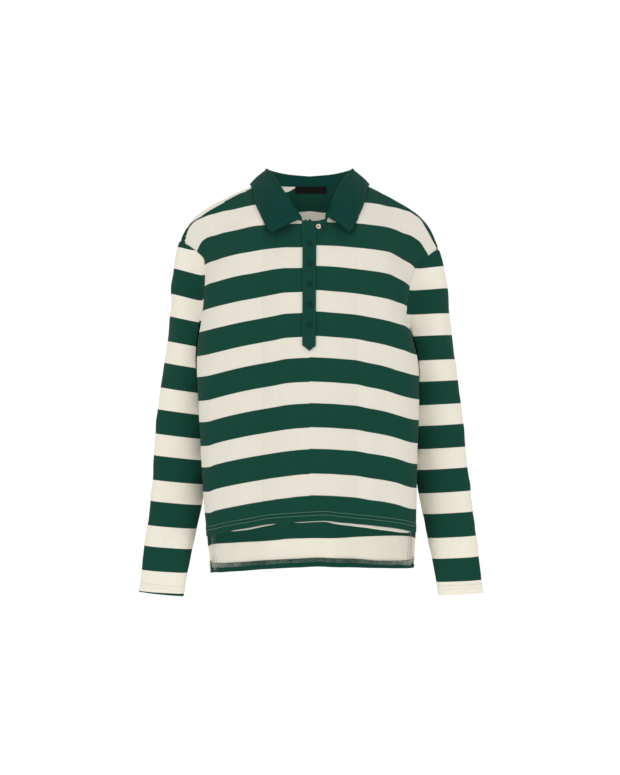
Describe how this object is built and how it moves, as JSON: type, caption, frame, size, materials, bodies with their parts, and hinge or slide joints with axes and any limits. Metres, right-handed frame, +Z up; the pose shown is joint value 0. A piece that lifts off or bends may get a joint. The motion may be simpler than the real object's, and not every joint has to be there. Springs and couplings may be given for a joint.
{
  "type": "polo shirt",
  "caption": "Long-sleeved polo shirt filled out as if worn: hollow striped body, two hollow sleeves, turned-over rib collar, buttoned front placket, longer back with side vents.",
  "frame": {"origin": "in the neck at the height of the shoulders, midway between the sides of the neckline: where the wearer's neck and shoulders hold the shirt up", "axes": "+Z up; -Y the way the wearer faces; +X towards the wearer's left arm"},
  "size_m": [0.569, 0.2345, 0.7056],
  "materials": {
    "cream_jersey": "matt cotton jersey, striped cream and dark green",
    "green_rib": "matt dark green knitted rib",
    "pearl_button": "glossy pearl",
    "green_button": "satin dark green",
    "black_label": "woven satin"
  },
  "bodies": {
    "root": {"front_body": "cream_jersey", "back_body": "cream_jersey", "sleeve_left": "cream_jersey", "sleeve_right": "cream_jersey", "collar": "green_rib", "placket_outer": "green_rib", "placket_under": "green_rib", "button_1": "pearl_button", "button_2": "green_button", "button_3": "green_button", "button_4": "green_button", "button_5": "green_button", "button_6": "green_button", "neck_label": "black_label"}
  },
  "joints": []
}
